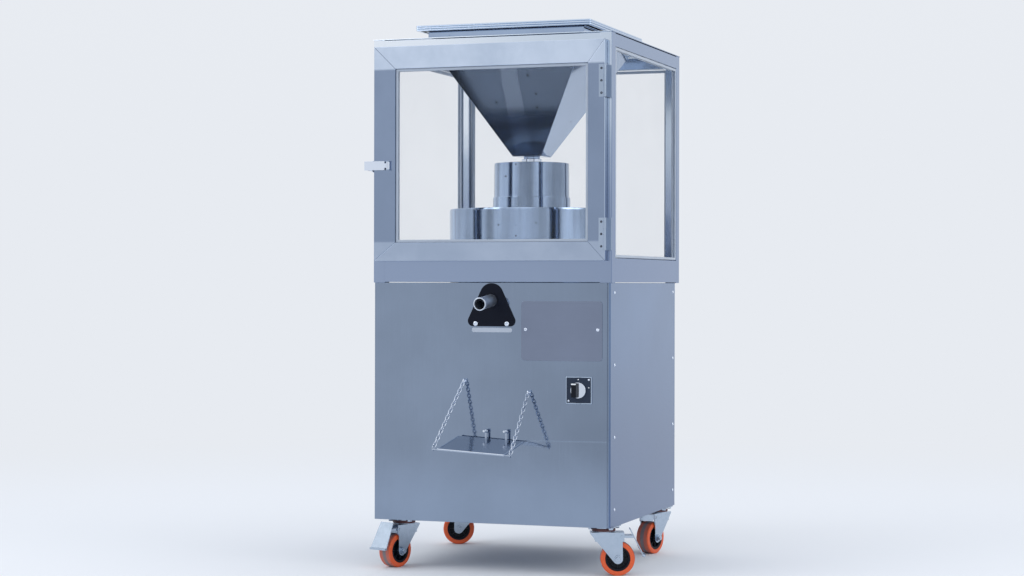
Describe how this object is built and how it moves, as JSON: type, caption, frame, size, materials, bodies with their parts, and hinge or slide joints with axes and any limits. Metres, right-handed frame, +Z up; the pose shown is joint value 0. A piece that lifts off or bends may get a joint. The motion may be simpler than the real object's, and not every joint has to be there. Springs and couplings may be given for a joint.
{
  "type": "nut butter grinder",
  "caption": "Floor-standing nut butter mill: glass case with a square hopper over a stone mill, on a steel motor cabinet with casters, spout and a folding jar tray.",
  "frame": {"origin": "middle of the whole footprint, on the floor", "axes": "+Z up, -Y out of the front with the door, spout and switch, +X to the viewer's right when facing the front"},
  "size_m": [0.6314, 0.6954, 1.2193],
  "materials": {
    "mild_steel_tube": "plain satin",
    "panel_steel": "satin stainless sheet",
    "case_steel": "bright brushed stainless",
    "polished_steel": "polished stainless",
    "clear_glass": "clear",
    "black_rubber": "matt",
    "chrome": "bright",
    "mill_stone": "rough mineral",
    "shaft_steel": "ground",
    "motor_casting": "satin paint",
    "coupling_plastic": "moulded",
    "black_plastic": "moulded",
    "black_coating": "satin coating",
    "brushed_plate": "brushed, blank",
    "switch_face": "satin",
    "zinc": "bright zinc plated",
    "orange_tread": "moulded polyurethane"
  },
  "bodies": {
    "root": {"base_frame": "mild_steel_tube", "floor_plate": "panel_steel", "front_panel": "panel_steel", "left_side_panel": "panel_steel", "right_side_panel": "panel_steel", "rear_panel": "panel_steel", "deck_plate": "panel_steel", "case_frame": "case_steel", "roof_panel": "case_steel", "fixed_windows": "clear_glass", "window_gaskets": "black_rubber", "frame_hinge_leaves": "chrome", "latch_keeper": "chrome", "hopper": "polished_steel", "mill_housing": "polished_steel", "mill_cover": "polished_steel", "fixed_stone": "mill_stone", "shaft_bearings": "shaft_steel", "bearing_housing": "motor_casting", "motor_housing": "motor_casting", "motor_end_shields": "motor_casting", "fan_cowl": "motor_casting", "terminal_box": "black_plastic", "discharge_chute": "polished_steel", "spout_pipe": "chrome", "spout_plate": "black_coating", "blank_plates": "brushed_plate", "switch_plate": "switch_face", "switch_body": "black_plastic", "cable_gland": "black_plastic", "panel_fasteners": "chrome", "panel_eyes": "chrome", "caster_plates": "zinc"},
    "door": {"door_frame": "case_steel", "door_window": "clear_glass", "door_gasket": "black_rubber", "door_hardware": "chrome"},
    "latch": {"door_latch": "chrome"},
    "lid": {"hopper_lid": "case_steel"},
    "knob": {"switch_knob": "black_plastic"},
    "tray": {"tray": "polished_steel"},
    "rotor": {"mill_shaft": "shaft_steel", "running_stone": "mill_stone", "feed_impeller": "polished_steel", "shaft_coupling": "coupling_plastic", "motor_fan": "black_plastic"},
    "left_chain_upper": {"left_chain_upper": "chrome"},
    "left_chain_lower": {"left_chain_lower": "chrome"},
    "right_chain_upper": {"right_chain_upper": "chrome"},
    "right_chain_lower": {"right_chain_lower": "chrome"},
    "front_left_fork": {"front_left_fork": "zinc"},
    "front_left_wheel": {"front_left_wheel": "orange_tread"},
    "front_right_fork": {"front_right_fork": "zinc"},
    "front_right_wheel": {"front_right_wheel": "orange_tread"},
    "rear_left_fork": {"rear_left_fork": "zinc"},
    "rear_left_wheel": {"rear_left_wheel": "orange_tread"},
    "rear_right_fork": {"rear_right_fork": "zinc"},
    "rear_right_wheel": {"rear_right_wheel": "orange_tread"},
    "front_left_pedal": {"front_left_pedal": "zinc"},
    "front_right_pedal": {"front_right_pedal": "zinc"}
  },
  "joints": [
    {"name": "door_swing", "type": "hinge", "parent": "root", "child": "door", "pos_m": [0.24731, -0.23355, 0.898], "axis": [0, 0, 1], "range_deg": [0, 110]},
    {"name": "latch_swing", "type": "hinge", "parent": "door", "child": "latch", "pos_m": [-0.25569, -0.23555, 0.898], "axis": [0, 0, 1], "range_deg": [0, 100]},
    {"name": "lid_lift", "type": "slide", "parent": "root", "child": "lid", "axis": [0, 0, 1], "range_m": [0, 0.2]},
    {"name": "switch_turn", "type": "hinge", "parent": "root", "child": "knob", "pos_m": [0.18281, -0.21235, 0.405], "axis": [0, 1, 0], "range_deg": [0, 90]},
    {"name": "rotor_spin", "type": "hinge", "parent": "root", "child": "rotor", "pos_m": [-0.02169, 0.06765, 0.638], "axis": [0, 0, 1], "continuous": true},
    {"name": "tray_fold", "type": "hinge", "parent": "root", "child": "tray", "pos_m": [-0.01569, -0.21835, 0.312], "axis": [-1, 0, 0], "range_deg": [0, 65]},
    {"name": "left_chain_hang", "type": "hinge", "parent": "root", "child": "left_chain_upper", "pos_m": [-0.08069, -0.21835, 0.421], "axis": [1, 0, 0], "range_deg": [0, 41]},
    {"name": "left_chain_slack", "type": "hinge", "parent": "tray", "child": "left_chain_lower", "pos_m": [-0.10467, -0.33976, 0.28154], "axis": [-1, 0, 0], "range_deg": [0, 23]},
    {"name": "right_chain_hang", "type": "hinge", "parent": "root", "child": "right_chain_upper", "pos_m": [0.06931, -0.21835, 0.398], "axis": [1, 0, 0], "range_deg": [0, 43]},
    {"name": "right_chain_slack", "type": "hinge", "parent": "tray", "child": "right_chain_lower", "pos_m": [0.07104, -0.33976, 0.27141], "axis": [-1, 0, 0], "range_deg": [0, 21]},
    {"name": "front_left_swivel", "type": "hinge", "parent": "root", "child": "front_left_fork", "pos_m": [-0.24769, -0.15735, 0.09], "axis": [0, 0, 1], "continuous": true},
    {"name": "front_left_roll", "type": "hinge", "parent": "front_left_fork", "child": "front_left_wheel", "pos_m": [-0.25746, -0.18571, 0.0375], "axis": [0.9455, -0.3256, 0], "continuous": true},
    {"name": "front_left_brake", "type": "hinge", "parent": "front_left_fork", "child": "front_left_pedal", "pos_m": [-0.26006, -0.19328, 0.086], "axis": [-0.9455, 0.3256, 0], "range_deg": [0, 12]},
    {"name": "front_right_swivel", "type": "hinge", "parent": "root", "child": "front_right_fork", "pos_m": [0.22331, -0.15735, 0.09], "axis": [0, 0, 1], "continuous": true},
    {"name": "front_right_roll", "type": "hinge", "parent": "front_right_fork", "child": "front_right_wheel", "pos_m": [0.2515, -0.14709, 0.0375], "axis": [-0.342, 0.9397, 0], "continuous": true},
    {"name": "front_right_brake", "type": "hinge", "parent": "front_right_fork", "child": "front_right_pedal", "pos_m": [0.25902, -0.14435, 0.086], "axis": [0.342, -0.9397, 0], "range_deg": [0, 12]},
    {"name": "rear_left_swivel", "type": "hinge", "parent": "root", "child": "rear_left_fork", "pos_m": [-0.24769, 0.27265, 0.09], "axis": [0, 0, 1], "continuous": true},
    {"name": "rear_left_roll", "type": "hinge", "parent": "rear_left_fork", "child": "rear_left_wheel", "pos_m": [-0.27588, 0.26239, 0.0375], "axis": [0.342, -0.9397, 0], "continuous": true},
    {"name": "rear_right_swivel", "type": "hinge", "parent": "root", "child": "rear_right_fork", "pos_m": [0.22331, 0.27265, 0.09], "axis": [0, 0, 1], "continuous": true},
    {"name": "rear_right_roll", "type": "hinge", "parent": "rear_right_fork", "child": "rear_right_wheel", "pos_m": [0.21504, 0.24381, 0.0375], "axis": [0.9613, -0.2756, 0], "continuous": true}
  ],
  "couplings": [
    {"joint": "left_chain_hang", "follows": "tray_fold", "ratio": 0.61538},
    {"joint": "left_chain_slack", "follows": "tray_fold", "ratio": 0.33846},
    {"joint": "right_chain_hang", "follows": "tray_fold", "ratio": 0.64615},
    {"joint": "right_chain_slack", "follows": "tray_fold", "ratio": 0.30769}
  ]
}
